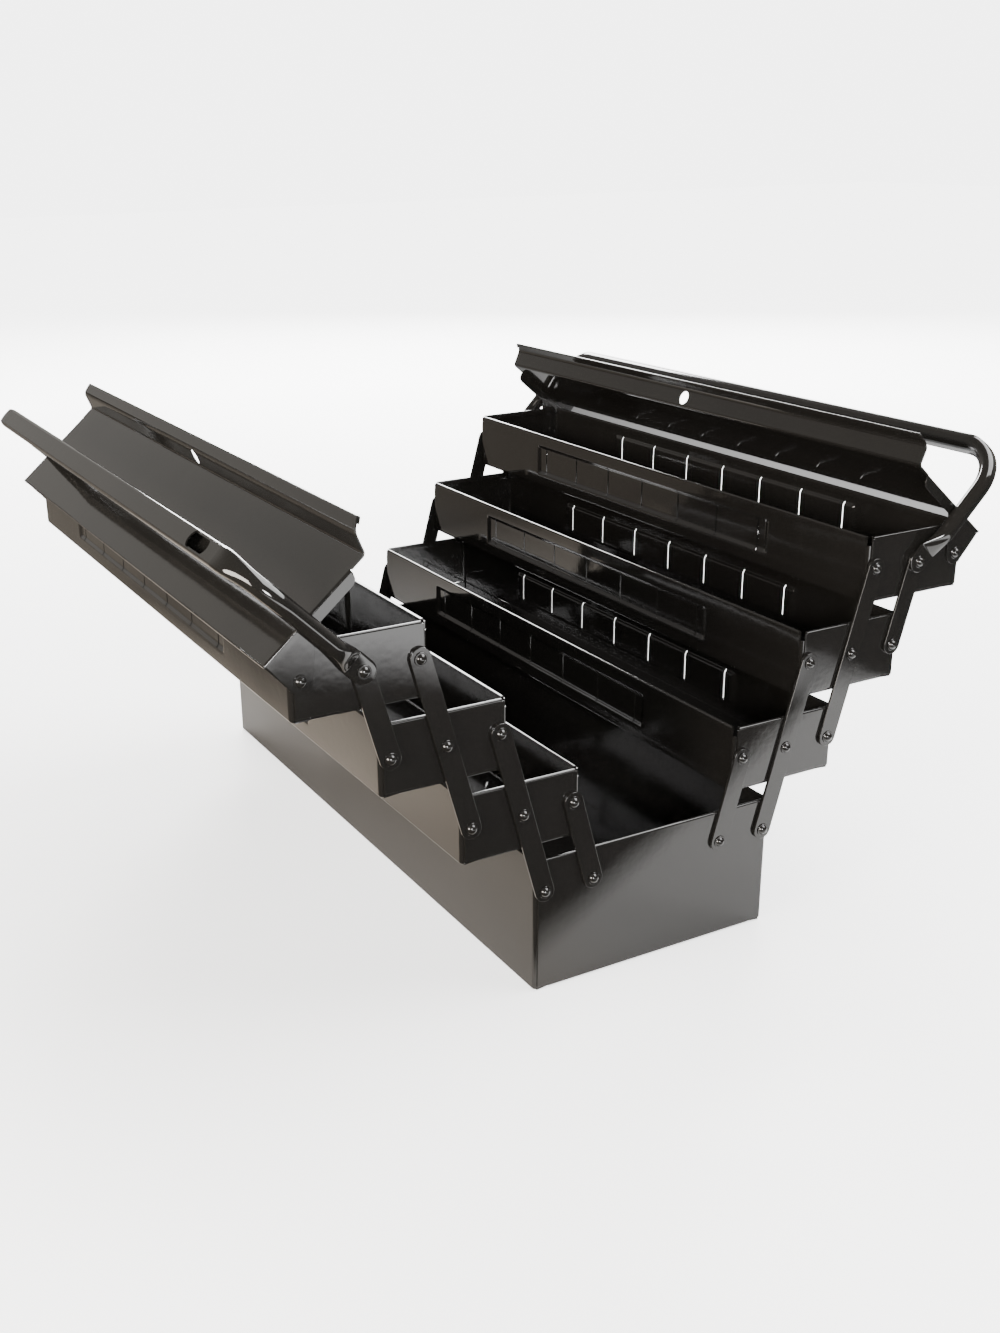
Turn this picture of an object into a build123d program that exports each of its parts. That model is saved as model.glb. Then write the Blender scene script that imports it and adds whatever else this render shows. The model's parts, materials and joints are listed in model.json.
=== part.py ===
from build123d import *
import os
from math import asin, cos, degrees, radians, sin, sqrt

# A seven-compartment cantilever toolbox of enamelled sheet steel, standing open.
# A base box carries three trays on each side. Flat links, riveted to the ends of the
# base and the trays, swing the trays up and out. Each top tray carries a hinged lid and
# a swinging handle. X runs along the box, Y across it, Z up. The origin is at the middle
# of the underside of the base. "Near" is the +X end, "right" is the +Y side, and the
# left side is the right side mirrored.

# Sheet metal
sheet = 0.9            # thickness of every sheet piece
bend = 2.0             # outside radius where the sheet is folded
corner_round = 2.5     # outside radius of the bends at the upright corners
hem_thickness = 2.8    # rim hem, across the two layers and the air between them
hem_depth = 5.0        # how far the hem reaches down from the rim
hem_notch = 1.2        # gap between the hems of two walls where they meet at a corner

# Base and trays
length = 530.0         # over the end plates
tray_width = 87.5
tray_height = 47.2
base_height = 96.0
half_slot = 8.5        # half of the slot between the left and right trays when closed
stack_gap = 0.8        # a closed tray's floor above the rim below it
tab_width = 12.0       # wall tabs that the end plates are fixed to
floor_tab = 8.0        # height of the tab bent up from the floor
plate_inset = 2.6      # end plates stop short of the corners by this

# Pressed divider panels in the long walls of the trays
panel_length = 322.0
panel_height = 26.4
panel_top = 10.2       # below the rim
panel_depth = 1.8      # pressed in, towards the inside of the tray
panel_border = 2.7     # width of the slanted border along the top and the bottom
panel_end_border = 5.0
slit_count = 7
slit_pitch = 49.2
slit_margin = 0.2      # slits stop this far inside the panel's top and bottom edges
slit_width = 1.7

# Rivets and links
rivet_depth = 22.0     # rivet axes below the rim
first_rivet = 6.0      # first rivet axis, from the tray's inner wall
last_rivet = 6.5       # last rivet axis, from the tray's outer wall
rivet_radius = 2.0
fixed_clearance = 0.1  # round a shank, in a piece that does not turn on it
running_clearance = 0.05
head_radius = 4.4
head_rim = 0.4
dome_radius = 3.4
dome_height = 2.4
tail_radius = 3.4      # the closed head inside the tray
tail_height = 1.2
link_width = 14.0
link_thickness = 2.0
link_edge = 0.4        # edge rounding on the outer face of a link
side_gap = 0.3         # air between neighbouring layers on a rivet
open_angle = 74.5      # links from the horizontal, trays swung out

# Lids
lid_clearance = 1.1    # underside of the lid above the tray's rim
lid_overhang = 2.0     # past the tray's outer wall
lid_lip = 0.9          # how far the outer lip hangs below the lid's underside
lid_open = 40.5        # opening angle
skirt_depth = 8.0
skirt_end = 11.5       # from the ridge fold back to the end of the skirt
skirt_round = 6.0
ear_radius = 8.0
ridge_rise = 72.0      # slope of the ridge's wall
ridge_wall = 14.2
ridge_top_slope = 23.0
tip_gap = 1.0          # from the tip of the ridge to the middle of the closed box
ridge_top = 9.4
fold_round = 2.5
crest_round = 7.0
ridge_corner = 8.0
ridge_hem = 4.5
padlock_radius = 5.5

# Handles
tube_diameter = 11.8
handle_arm = 97.0      # pivot to the middle of the bar
handle_bend = 32.5
handle_open = 45.0     # above the horizontal
handle_gap = 8.6       # middle of the bar from the middle of the closed box
eye_thickness = 2.2
eye_width = 16.0
eye_reach = 9.0        # flat part of the eye, from the pivot towards the bar
eye_blend = 19.0
grip_flat = 12.0       # width of the flat pressed into the outer side of the bar
grip_thickness = 9.5   # from that flat to the round inner side
grip_blend = 5.0
grip_lead = 0.5        # straight tube between the bend and the grip's blend
handle_slot_inset = 23.0  # from the end of the grip to the middle of its slot
handle_slot_length = 29.0
handle_slot_width = 11.0
handle_slot_depth = 8.0
round_flat = 0.02      # flat left on the round tube section, so that sections match

# Worked out from the sizes above
base_width = 2 * (half_slot + tray_width)
tub_length = length - 2 * sheet
hem_radius = hem_thickness / 2
rivet_pitch = (tray_width - first_rivet - last_rivet) / 2  # also the lean of a closed link
link_pitch = sqrt(rivet_pitch**2 + (tray_height + stack_gap) ** 2)
step_out = link_pitch * cos(radians(open_angle))
step_up = link_pitch * sin(radians(open_angle))
base_rivet_y = half_slot + first_rivet + rivet_pitch
base_rivet_z = base_height - rivet_depth
lid_height = rivet_depth + lid_clearance + sheet
lid_outer = last_rivet + lid_overhang
closed_hinge_y = half_slot + first_rivet + 2 * rivet_pitch
lid_half = length / 2 + side_gap + sheet
tip_reach = closed_hinge_y - tip_gap
crest_reach = tip_reach - ridge_top * cos(radians(ridge_top_slope))
fold_reach = crest_reach - ridge_wall * cos(radians(ridge_rise))
crest_height = lid_height + ridge_wall * sin(radians(ridge_rise))
tip_height = crest_height + ridge_top * sin(radians(ridge_top_slope))
link_face = length / 2 + side_gap
link_seat = link_face + link_thickness + side_gap
eye_seat = link_seat + eye_thickness + side_gap
ear_seat = link_face + sheet + side_gap
arm_x = link_seat + tube_diameter / 2
grip_half = arm_x - handle_bend - grip_lead - grip_blend
handle_slot_at = grip_half - handle_slot_inset
handle_closed = 90 + degrees(asin((base_rivet_y - handle_gap) / handle_arm))


def tray_rivet(tray, place):
    """Y and Z of a rivet axis on a right tray, trays 1 to 3 and rivets 0 to 2, swung out."""
    y = base_rivet_y + (tray - 1) * rivet_pitch + tray * step_out + place * rivet_pitch
    z = base_rivet_z + tray * step_up
    return y, z


def tray_middle(tray):
    """Y of the middle of a right tray and Z of its underside, swung out."""
    y, z = tray_rivet(tray, 0)
    return y - first_rivet + tray_width / 2, z + rivet_depth - tray_height


def tray_places():
    """Rivet places across a right tray's end, from the tray's middle."""
    inner = first_rivet - tray_width / 2
    return [inner, inner + rivet_pitch, inner + 2 * rivet_pitch]


def base_places():
    """Rivet places across the end of the base."""
    return [side * (base_rivet_y + step * rivet_pitch) for side in (-1, 1) for step in (0, 1)]


def both_ends(near):
    return [near, mirror(near, about=Plane.YZ)]


def hem_section():
    """A rim hem seen end-on: the outer face's top at the origin, folded over towards +x."""
    ring = Circle(hem_radius) - Circle(hem_radius - sheet)
    ring -= Pos(0, -hem_radius) * Rectangle(2 * hem_thickness, 2 * hem_radius)
    leg = Rectangle(sheet, hem_depth - hem_radius)
    leg_middle = -(hem_depth + hem_radius) / 2
    return Pos(hem_radius, -hem_radius) * ring + Pos(hem_thickness - sheet / 2, leg_middle) * leg


def channel(width, height):
    """Floor and long walls of a tub, with hemmed rims, about the middle of its underside."""
    outer_height = height - hem_radius
    outer = Pos(0, outer_height / 2) * Rectangle(width, outer_height)
    outer = fillet(outer.vertices().group_by(Axis.Y)[0], bend)
    inner = Pos(0, outer_height / 2 + sheet) * Rectangle(width - 2 * sheet, outer_height)
    inner = fillet(inner.vertices().group_by(Axis.Y)[0], bend - sheet)
    walls = extrude(Plane.YZ * (outer - inner), tub_length / 2, both=True)
    hem = Pos(-width / 2, height) * hem_section()
    hems = hem + mirror(hem, about=Plane.YZ)
    hem_run = tub_length / 2 - hem_thickness - hem_notch
    return walls + extrude(Plane.YZ * hems, hem_run, both=True)


def tabs(width, height):
    """Tabs at both ends of a tub, bent in from its walls and up from its floor."""
    tall = height - hem_depth - hem_notch - bend
    wall_tab = Box(sheet, tab_width, tall, align=(Align.MAX, Align.MAX, Align.MIN))
    wall_tab = Pos(tub_length / 2, width / 2 - sheet / 2, bend) * wall_tab
    across = width - 2 * tab_width - 2 * bend
    low_tab = Box(sheet, across, floor_tab, align=(Align.MAX, Align.CENTER, Align.MIN))
    low_tab = Pos(tub_length / 2, 0, sheet / 2) * low_tab
    low = (Align.MIN, Align.MIN, Align.MIN)
    upright = (Align.CENTER, Align.CENTER, Align.MIN)
    turn = Cylinder(corner_round, tall, align=upright)
    turn -= Cylinder(corner_round - sheet, tall, align=upright)
    turn &= Box(corner_round, corner_round, tall, align=low)
    turn = Pos(tub_length / 2 - corner_round, width / 2 - corner_round, bend) * turn
    corner = wall_tab + turn
    near = corner + mirror(corner, about=Plane.XZ) + low_tab
    return near + mirror(near, about=Plane.YZ)


def holes(places, z, radius):
    """Rivet holes along X through the near and far ends."""
    bores = [Pos(0, y, z) * Rot(0, 90, 0) * Cylinder(radius, 2 * length) for y in places]
    return Part() + bores


def corner_cuts(width, height):
    """What rounds off the four upright corners of a tub and clears the walls above its tabs."""
    low = (Align.MIN, Align.MIN, Align.MIN)
    cut = Box(corner_round, corner_round, height, align=low)
    cut -= Cylinder(corner_round, height, align=(Align.CENTER, Align.CENTER, Align.MIN))
    notch = Box(corner_round, corner_round, height, align=low)
    cut += Pos(0, 0, height - hem_depth - hem_notch) * notch
    cut = Pos(tub_length / 2 - corner_round, width / 2 - corner_round, 0) * cut
    near = cut + mirror(cut, about=Plane.XZ)
    return near + mirror(near, about=Plane.YZ)


def tub(width, height, places):
    """One folded tub: floor, long walls and end tabs, with holes for the rivets."""
    body = channel(width, height) + tabs(width, height) - corner_cuts(width, height)
    return body - holes(places, height - rivet_depth, rivet_radius + fixed_clearance)


def press_growth(border):
    """How much wider a slanted border's inner side starts, because of the sheet's thickness."""
    return sheet * (sqrt(border**2 + panel_depth**2) - border) / panel_depth


def press_form(plane, end_growth, side_growth):
    """A flat-bottomed block with slanted borders, pressed from a plane by the panel's depth."""
    long = panel_length + 2 * end_growth
    tall = panel_height + 2 * side_growth
    mouth = plane * Rectangle(long, tall)
    bottom = plane.offset(panel_depth)
    bottom = bottom * Rectangle(long - 2 * panel_end_border, tall - 2 * panel_border)
    return loft([mouth.face(), bottom.face()], ruled=True)


def divider_panels(body):
    """Presses a panel with slits into both long walls of a tray."""
    middle_z = tray_height - panel_top - panel_height / 2
    face = Plane(origin=(0, tray_width / 2, middle_z), x_dir=(1, 0, 0), z_dir=(0, -1, 0))
    recess = press_form(face, 0, 0)
    back = face.offset(sheet)
    pad = press_form(back, press_growth(panel_end_border), press_growth(panel_border))
    slit = Box(slit_width, 3 * (panel_depth + sheet), panel_height - 2 * slit_margin)
    middle = (slit_count - 1) / 2
    places = [Pos((i - middle) * slit_pitch, tray_width / 2, middle_z) for i in range(slit_count)]
    slits = Part() + [place * slit for place in places]
    for turned in (False, True):
        pieces = [pad, recess, slits]
        if turned:
            pieces = [mirror(piece, about=Plane.XZ) for piece in pieces]
        body = body + pieces[0] - pieces[1] - pieces[2]
    return body


def end_plate(width, height, places):
    """The near end of a tub: a flat plate with a hemmed top, fixed to the tabs."""
    tall = height - hem_radius - plate_inset
    across = width - 2 * plate_inset
    plate = Box(sheet, across, tall, align=(Align.MAX, Align.CENTER, Align.MIN))
    plate = Pos(length / 2, 0, plate_inset) * plate
    hem = Pos(length / 2, height) * mirror(hem_section(), about=Plane.YZ)
    hem_half = width / 2 - hem_thickness - hem_notch
    plate += extrude(Plane.XZ * hem, hem_half, both=True)
    return plate - holes(places, height - rivet_depth, rivet_radius + fixed_clearance)


def rivet(seat, tail):
    """A near-end rivet on the X axis, from its outer head's seat to its closed head."""
    ball = (dome_radius**2 + dome_height**2) / (2 * dome_height)
    dome = split(Pos(0, 0, dome_height - ball) * Sphere(ball), bisect_by=Plane.XY)
    down = (Align.CENTER, Align.CENTER, Align.MAX)
    up = (Align.CENTER, Align.CENTER, Align.MIN)
    head = Cylinder(head_radius, head_rim, align=up) + Pos(0, 0, head_rim) * dome
    shank = Cylinder(rivet_radius, seat - tail, align=down)
    closed = Pos(0, 0, tail - seat) * Cylinder(tail_radius, tail_height, align=down)
    return Pos(seat, 0, 0) * Rot(0, 90, 0) * (head + shank + closed)


def rivet_set(seats, places, z, width):
    """Rivets at both ends; the closed head lies on a tab where there is one."""
    near = []
    for seat, y in zip(seats, places):
        on_tab = abs(y) + tail_radius > width / 2 - tab_width
        tail = length / 2 - (2 if on_tab else 1) * sheet
        near.append(Pos(0, y, z) * rivet(seat, tail))
    solids = []
    for piece in near:
        solids.extend(both_ends(piece))
    return Compound(children=solids)


def link(pins):
    """A flat link from its lowest pin at the origin up along Z, on the near end."""
    reach = (pins - 1) * link_pitch
    face = Pos(0, reach / 2) * Rot(0, 0, 90) * SlotCenterToCenter(reach, link_width)
    for pin in range(pins):
        face -= Pos(0, pin * link_pitch) * Circle(rivet_radius + running_clearance)
    bar = extrude(Plane.YZ * face, link_thickness)
    bar = fillet(bar.edges().group_by(Axis.X)[-1], link_edge)
    return Pos(link_face, 0, 0) * bar


def placed_link(pins, y, z):
    return Pos(0, y, z) * Rot(open_angle - 90, 0, 0) * link(pins)


def lid_sheet():
    """Panel and ridge of a closed right lid, about its hinge, seen end-on."""
    edge = (lid_outer, lid_height)
    fold = (-fold_reach, lid_height)
    crest = (-crest_reach, crest_height)
    tip = (-tip_reach, tip_height)
    path = FilletPolyline(edge, fold, crest, tip, radius=(fold_round, crest_round))
    band = make_face(offset(path, amount=sheet, side=Side.LEFT))
    lip = Pos(lid_outer - sheet / 2, lid_height - (sheet + lid_lip) / 2)
    band += lip * Rectangle(sheet, sheet + lid_lip)
    return band


def ridge_hem_strip():
    """The doubled edge under the tip of the ridge."""
    under = Pos(-tip_reach, tip_height) * Rot(0, 0, -ridge_top_slope)
    return under * Pos(ridge_hem / 2, -1.5 * sheet) * Rectangle(ridge_hem, sheet)


def lid_end():
    """Skirt and hinge ear at the near end of a closed right lid, about its hinge."""
    low = lid_height - skirt_depth
    nose = ear_radius / sqrt(2)
    skirt_reach = fold_reach - skirt_end
    outline = Polyline(
        (lid_outer, lid_height - sheet / 2),
        (-skirt_reach, lid_height - sheet / 2),
        (-skirt_reach, low),
        (-low - 2 * nose, low),
        (-nose, -nose),
        (ear_radius, 0),
        close=True,
    )
    face = make_face(outline)
    corner = face.vertices().sort_by(Axis.X)[:2].sort_by(Axis.Y)[0]
    face = fillet(corner, skirt_round) + Circle(ear_radius)
    face -= Circle(rivet_radius + running_clearance)
    return Pos(link_face, 0, 0) * extrude(Plane.YZ * face, sheet)


def lid():
    """A right lid, open, at its place on the top tray."""
    band = lid_sheet() + ridge_hem_strip()
    body = extrude(Plane.YZ * band, lid_half, both=True) + both_ends(lid_end())
    round_cut = Box(2 * ridge_corner, length, 2 * ridge_corner)
    round_cut -= Rot(90, 0, 0) * Cylinder(ridge_corner, length)
    round_cut = round_cut & Pos(ridge_corner, 0, ridge_corner) * Box(
        2 * ridge_corner, length, 2 * ridge_corner
    )
    cut = Pos(lid_half - ridge_corner, 0, tip_height - ridge_corner) * round_cut
    for piece in both_ends(cut):
        body -= piece
    drill = Rot(-ridge_rise, 0, 0) * Cylinder(padlock_radius, 6 * sheet)
    hole_y = -(fold_reach + crest_reach) / 2
    body -= Pos(0, hole_y, (lid_height + crest_height) / 2) * drill
    y, z = tray_rivet(3, 2)
    return Pos(0, y, z) * Rot(-lid_open, 0, 0) * body


def tube_section(width, thickness):
    """A tube pressed to a width and a thickness, the same four edges at any size."""
    return SlotOverall(max(width, thickness + round_flat), thickness)


def grip_section():
    """The tube pressed flat on its outer side, with the same four edges as the tube."""
    half_flat = grip_flat / 2
    high = tube_diameter / 2
    low = high - grip_thickness
    across = Line((-half_flat, high), (half_flat, high))
    side = ThreePointArc((half_flat, high), (half_flat, (high + low) / 2), (round_flat / 2, low))
    under = Line((round_flat / 2, low), (-round_flat / 2, low))
    other = mirror(side, about=Plane.YZ)
    return make_face([across, side, under, other])


def handle():
    """A right handle, folded out: one tube with flat eyes and a pressed grip."""
    round_tube = tube_section(tube_diameter, tube_diameter)
    eye_middle = link_seat + eye_thickness / 2
    blend_end = eye_reach + eye_blend
    up = (Align.CENTER, Align.CENTER, Align.MIN)
    eye = Cylinder(eye_width / 2, eye_thickness, align=up)
    eye = Pos(link_seat, 0, 0) * Rot(0, 90, 0) * eye
    eye_plane = Plane(origin=(eye_middle, 0, eye_reach), x_dir=(0, 1, 0), z_dir=(0, 0, 1))
    arm_plane = Plane(origin=(arm_x, 0, blend_end), x_dir=(0, 1, 0), z_dir=(0, 0, 1))
    eye_face = eye_plane * tube_section(eye_width, eye_thickness)
    eye += extrude(eye_face, -eye_reach)
    neck = loft([eye_face.face(), (arm_plane * round_tube).face()])
    grip_end = grip_half + grip_blend
    start = (arm_x, 0, blend_end)
    corner = (arm_x, 0, handle_arm)
    path = FilletPolyline(start, corner, (grip_end, 0, handle_arm), radius=handle_bend)
    arm = sweep(arm_plane * round_tube, path=path)
    tube_plane = Plane(origin=(grip_end, 0, handle_arm), x_dir=(0, -1, 0), z_dir=(-1, 0, 0))
    grip_plane = Plane(origin=(grip_half, 0, handle_arm), x_dir=(0, -1, 0), z_dir=(-1, 0, 0))
    grip_face = grip_plane * grip_section()
    blend = loft([(tube_plane * round_tube).face(), grip_face.face()])
    half = eye + neck + arm + blend + extrude(grip_face, grip_half)
    pin = Rot(0, 90, 0) * Cylinder(rivet_radius + running_clearance, 2 * length)
    body = half + mirror(half, about=Plane.YZ) - pin
    slot = SlotOverall(handle_slot_length, handle_slot_width)
    slot = extrude(slot, -handle_slot_depth)
    body -= Pos(handle_slot_at, 0, handle_arm + tube_diameter / 2) * slot
    y, z = tray_rivet(3, 1)
    return Pos(0, y, z) * Rot(handle_open - 90, 0, 0) * body


def right_side():
    """Every piece of the right side, by name, without its side."""
    pieces = {}
    tray_tub = divider_panels(tub(tray_width, tray_height, tray_places()))
    plate = end_plate(tray_width, tray_height, tray_places())
    for tray in (1, 2, 3):
        y, z = tray_middle(tray)
        place = Pos(0, y, z)
        name = f"tray_{tray}"
        pieces[f"{name}_tub"] = place * tray_tub
        pieces[f"{name}_near_end"] = place * plate
        pieces[f"{name}_far_end"] = place * mirror(plate, about=Plane.YZ)
        seats = [link_seat] * 3 if tray < 3 else [link_seat, eye_seat, ear_seat]
        rivets = rivet_set(seats, tray_places(), tray_height - rivet_depth, tray_width)
        pieces[f"{name}_rivets"] = place * rivets
    first = (base_rivet_y, base_rivet_z)
    second = (base_rivet_y + rivet_pitch, base_rivet_z)
    for name, pins, (y, z) in (
        ("base_short_link", 2, first),
        ("base_long_link", 3, second),
        ("tray_long_link", 3, tray_rivet(1, 2)),
        ("tray_short_link", 2, tray_rivet(2, 2)),
    ):
        near = placed_link(pins, y, z)
        pieces[f"{name}_near"] = near
        pieces[f"{name}_far"] = mirror(near, about=Plane.YZ)
    pieces["lid"] = lid()
    pieces["handle"] = handle()
    return pieces


def base():
    """The base box and its rivets, by name."""
    places = base_places()
    plate = end_plate(base_width, base_height, places)
    seats = [link_seat] * len(places)
    return {
        "base_tub": tub(base_width, base_height, places),
        "base_near_end": plate,
        "base_far_end": mirror(plate, about=Plane.YZ),
        "base_rivets": rivet_set(seats, places, base_rivet_z, base_width),
    }


def main():
    os.makedirs("parts", exist_ok=True)
    for name, shape in base().items():
        export_step(shape, f"parts/{name}.step")
    for name, shape in right_side().items():
        export_step(shape, f"parts/right_{name}.step")
        export_step(mirror(shape, about=Plane.XZ), f"parts/left_{name}.step")
    print("handle swing", round(handle_closed - handle_open, 3), "link pitch", round(link_pitch, 3))


main()
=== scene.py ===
# %% [markdown]
# # A cantilever toolbox in black enamel
# The real object is a toolbox of folded sheet steel, dipped or sprayed black and photographed
# open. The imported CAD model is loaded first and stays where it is. Each step below then dresses
# one kind of piece: the tubs, the end plates, the lids, the handles, the links and the rivets.
# Every new mesh rides on the same body as the CAD piece that it stands for.

# %% Load the frame
import json
from math import acos, atan2, copysign, cos, degrees, hypot, pi, radians, sin, sqrt, tan

import bmesh
import bpy
from mathutils import Matrix, Vector


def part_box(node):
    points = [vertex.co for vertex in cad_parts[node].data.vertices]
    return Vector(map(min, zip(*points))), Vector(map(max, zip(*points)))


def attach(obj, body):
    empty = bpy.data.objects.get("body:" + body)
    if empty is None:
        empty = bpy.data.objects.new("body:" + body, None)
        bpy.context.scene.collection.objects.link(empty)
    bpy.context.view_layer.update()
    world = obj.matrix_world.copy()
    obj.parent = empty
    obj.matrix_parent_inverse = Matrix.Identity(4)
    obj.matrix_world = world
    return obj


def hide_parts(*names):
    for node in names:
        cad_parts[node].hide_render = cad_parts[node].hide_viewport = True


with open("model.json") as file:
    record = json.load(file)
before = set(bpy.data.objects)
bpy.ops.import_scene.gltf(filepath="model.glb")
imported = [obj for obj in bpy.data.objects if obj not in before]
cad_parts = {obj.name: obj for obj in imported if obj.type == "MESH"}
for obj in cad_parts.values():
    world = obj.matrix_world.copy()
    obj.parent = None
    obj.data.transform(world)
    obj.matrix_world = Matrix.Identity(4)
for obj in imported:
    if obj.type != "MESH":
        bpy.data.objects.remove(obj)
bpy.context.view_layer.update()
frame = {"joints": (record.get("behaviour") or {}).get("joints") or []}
joint_at = {}
for joint in frame["joints"]:
    joint_at[joint["name"]] = (joint["pos_m"][1] * 1000, joint["pos_m"][2] * 1000)

# %% [markdown]
# # Sheet steel
# Nearly every piece is 0.9 mm steel sheet, cut flat and folded. A folded sheet can be drawn as
# solid blocks, as a section that is swept, or as the middle surface of the sheet that gets its
# thickness afterwards. The middle surface is used here: a fold is then a row of points round a
# small arc, a slit is a missing face, and a pressed panel is a smooth push on the same points.
# Lengths are in millimetres until a mesh is made, with X along the box and Z up.

# %% Sizes shared by the sheet pieces
round_points = 40
sheet = 0.9
half = sheet / 2
bend = 2.0
corner_round = 2.5
hem_thickness = 2.8
hem_depth = 5.0
hem_notch = 1.2
hem_radius = hem_thickness / 2
side_gap = 0.3


def box_mm(node):
    """The lowest and highest corner of a CAD node, in millimetres."""
    low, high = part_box(node)
    return low * 1000, high * 1000


def arc(start, end, steps):
    """Angles in radians from start to end in degrees, both included."""
    return [radians(start + (end - start) * k / steps) for k in range(steps + 1)]


def full_turn(count, shift=0.0):
    """Angles in radians, evenly round a circle."""
    return [2 * pi * (k + shift) / count for k in range(count)]


def spread(start, end, steps):
    return [start + (end - start) * k / steps for k in range(steps + 1)]


def ease(value):
    """0 to 1 with a soft start and a soft end."""
    value = min(max(value, 0.0), 1.0)
    return value * value * (3 - 2 * value)


sides = ((1, "right"), (-1, "left"))
trays = [(side, tray, f"{name}_tray_{tray}") for side, name in sides for tray in (1, 2, 3)]
tub_low, tub_high = box_mm("base_tub")
tub_end = tub_high.x
plate_end = box_mm("base_near_end")[1].x
print("tubs end at", round(tub_end, 2), "and plates at", round(plate_end, 2))

# %% [markdown]
# # From points to a piece
# A surface is built once for the right side and used again, mirrored, for the left one. The
# mirrored faces are turned round so that they still face outwards. Solidify gives the sheet its
# thickness on both sides of the middle surface, Bevel takes the sharpness off the cut edges,
# which is what makes them catch the light, and weighted normals keep the broad faces flat.
# Lids and links have short edges beside long ones, so their Bevel isn't held back by the short
# ones, which would leave the long edges sharp.

# %% Mesh from points
collection = bpy.context.scene.collection
same_place = 1e-6


def make_mesh(name, points, faces, side=1):
    """A mesh object from millimetre points; side -1 mirrors it across the middle plane."""
    mesh = bpy.data.meshes.new(name)
    if side < 0:
        faces = [tuple(reversed(face)) for face in faces]
    mesh.from_pydata([(x / 1000, side * y / 1000, z / 1000) for x, y, z in points], [], faces)
    merged = bmesh.new()
    merged.from_mesh(mesh)
    bmesh.ops.remove_doubles(merged, verts=merged.verts, dist=same_place)
    loose = [v for v in merged.verts if not v.link_faces]
    bmesh.ops.delete(merged, geom=loose, context="VERTS")
    merged.to_mesh(mesh)
    merged.free()
    mesh.shade_smooth()
    obj = bpy.data.objects.new(name, mesh)
    collection.objects.link(obj)
    return obj


print("points nearer than", same_place, "m become one")

# %% Thickness, edges and finish
def thicken(obj, quality=True):
    """Gives a middle surface the thickness of the sheet, half of it on each side."""
    solid = obj.modifiers.new("sheet thickness", "SOLIDIFY")
    solid.thickness = sheet / 1000
    solid.offset = 0
    solid.use_quality_normals = quality


def finish_edges(obj, edge=0.16, angle=50, clamp=True):
    """Rounded cut edges and flat-looking broad faces."""
    round_off = obj.modifiers.new("cut edges", "BEVEL")
    round_off.width = edge / 1000
    round_off.segments = 2
    round_off.limit_method = "ANGLE"
    round_off.angle_limit = radians(angle)
    round_off.use_clamp_overlap = clamp
    obj.modifiers.new("broad faces", "WEIGHTED_NORMAL").keep_sharp = True


def bake(obj):
    """Turns an object's modifiers into plain mesh."""
    graph = bpy.context.evaluated_depsgraph_get()
    mesh = bpy.data.meshes.new_from_object(obj.evaluated_get(graph))
    obj.modifiers.clear()
    obj.data = mesh


def dress(obj, body, nodes, material):
    """Puts a piece on its body in place of the CAD nodes, with its finish."""
    obj.data.materials.clear()
    obj.data.materials.append(material)
    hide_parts(*nodes)
    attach(obj, body)


print("helpers for", sheet, "mm sheet ready")

# %% Grids and rings
def grid_faces(rows, columns, place, kept):
    """Points and faces of a grid; place gives a point and kept says which faces are there."""
    points, index, faces = [], {}, []
    for i in range(rows - 1):
        for j in range(columns - 1):
            if not kept(i, j):
                continue
            corners = []
            for key in ((i, j), (i, j + 1), (i + 1, j + 1), (i + 1, j)):
                if key not in index:
                    index[key] = len(points)
                    points.append(place(*key))
                corners.append(index[key])
            faces.append(tuple(corners))
    return points, faces


def past_end(column, extra, count):
    """The end that a column lies past and by how many steps; 0, 0 on the straight run."""
    if column < extra:
        return -1, extra - column
    if column >= extra + count:
        return 1, column - extra - count + 1
    return 0, 0


def ring_faces(rings, count):
    """Faces between rings of count points each, with both ends closed."""
    faces = []
    last = (rings - 1) * count
    for start in range(0, last, count):
        for k in range(count):
            after = (k + 1) % count
            faces.append((start + k, start + after, start + count + after, start + count + k))
    return faces + [tuple(reversed(range(count))), tuple(range(last, last + count))]


print("a ring of", round_points, "points has faces", ring_faces(2, round_points)[0], "and so on")

# %% [markdown]
# # Finish
# All the steel is coated with one black enamel: deep, glossy, a little brown where light falls
# on it, with the faint ripple that sprayed enamel dries to. The sheet under it is never quite
# flat, which bends long reflections. Dust and finger marks dull the gloss in soft patches. Each
# of these is a mask or a height in one node group, so that every piece shares them at its own
# strength. The pattern is taken from Object coordinates, which run on from piece to piece
# because all pieces share one frame.

# %% Node helpers
def add_node(tree, kind, **values):
    """A new node with its settings."""
    node = tree.nodes.new(kind)
    for key, value in values.items():
        setattr(node, key, value)
    return node


def feed(tree, node, feeds):
    """Feeds a node's inputs with numbers or with the outputs of other nodes."""
    for name, value in feeds.items():
        if isinstance(value, bpy.types.NodeSocket):
            tree.links.new(value, node.inputs[name])
        else:
            node.inputs[name].default_value = value


def fed(tree, kind, feeds, **values):
    """A new node with its settings, and its inputs fed."""
    node = add_node(tree, kind, **values)
    feed(tree, node, feeds)
    return node


def noise(tree, place, scale, detail, roughness=0.5):
    feeds = {"Vector": place, "Scale": scale, "Detail": detail, "Roughness": roughness}
    return fed(tree, "ShaderNodeTexNoise", feeds).outputs["Fac"]


def remap(tree, value, low, high, to_low, to_high):
    """A value taken from one range to another and held inside it."""
    feeds = {"Value": value, "From Min": low, "From Max": high, "To Min": to_low, "To Max": to_high}
    return fed(tree, "ShaderNodeMapRange", feeds).outputs["Result"]


def calculate(tree, operation, first, *others):
    """Takes every further value into the result so far."""
    for other in others:
        first = fed(tree, "ShaderNodeMath", {0: first, 1: other}, operation=operation).outputs[0]
    return first


def times(tree, *factors):
    return calculate(tree, "MULTIPLY", *factors)


print("node helpers ready")

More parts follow.
